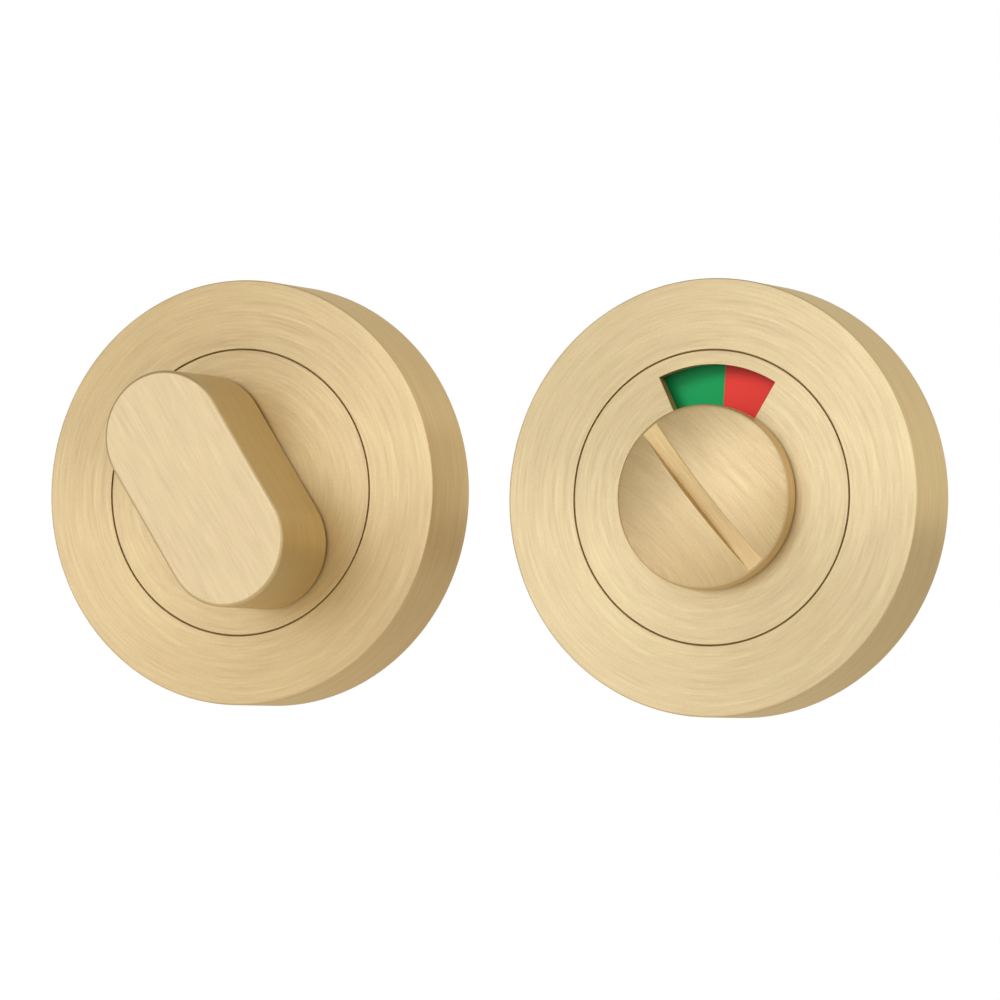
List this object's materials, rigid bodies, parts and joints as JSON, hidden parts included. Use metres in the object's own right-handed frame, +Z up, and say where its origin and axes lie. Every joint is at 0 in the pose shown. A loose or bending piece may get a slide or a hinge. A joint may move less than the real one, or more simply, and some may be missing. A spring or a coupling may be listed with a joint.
{
  "type": "bathroom thumb turn lock",
  "caption": "Round privacy lock set for a bathroom door: an oval thumb turn on one rose, and a coin-slot release with a green and red indicator on the other.",
  "frame": {"origin": "on the door's face, at the axis of the thumb turn and midway between its two fixing bolts", "axes": "+Y goes into the door, so the roses face -Y; +X runs from the thumb turn to the release; +Z is up"},
  "size_m": [0.114, 0.0685, 0.052],
  "materials": {
    "satin_brass": "finely brushed, clear lacquered",
    "plain_brass": "as turned or stamped",
    "plated_steel": "bright zinc plated",
    "spring_steel": "oiled spring steel",
    "nylon": "moulded nylon",
    "green_enamel": "smooth enamel",
    "red_enamel": "smooth enamel"
  },
  "bodies": {
    "roses": {"turn_rose_cover": "satin_brass", "turn_base": "satin_brass", "turn_bush": "nylon", "turn_wave_washer": "spring_steel", "turn_fixing_bolts": "plated_steel", "release_rose_cover": "satin_brass", "release_base": "satin_brass", "release_bush": "nylon", "release_back_plate": "plain_brass", "back_plate_screws": "plated_steel", "release_wave_washer": "spring_steel", "release_fixing_posts": "plain_brass"},
    "turn": {"thumb_turn": "satin_brass", "spindle": "plated_steel", "spindle_pin": "plated_steel", "turn_retaining_ring": "spring_steel"},
    "release": {"release_knob": "satin_brass", "indicator_plate": "plain_brass", "indicator_green": "green_enamel", "indicator_red": "red_enamel", "indicator_retaining_ring": "spring_steel", "release_retaining_ring": "spring_steel"}
  },
  "joints": [
    {"name": "turn_spin", "type": "hinge", "parent": "roses", "child": "turn", "pos_m": [0, -0.0108, 0], "axis": [0, -1, 0], "range_deg": [-34, 56]},
    {"name": "release_spin", "type": "hinge", "parent": "roses", "child": "release", "pos_m": [0.062, -0.0108, 0], "axis": [0, -1, 0], "range_deg": [-41, 49]}
  ]
}
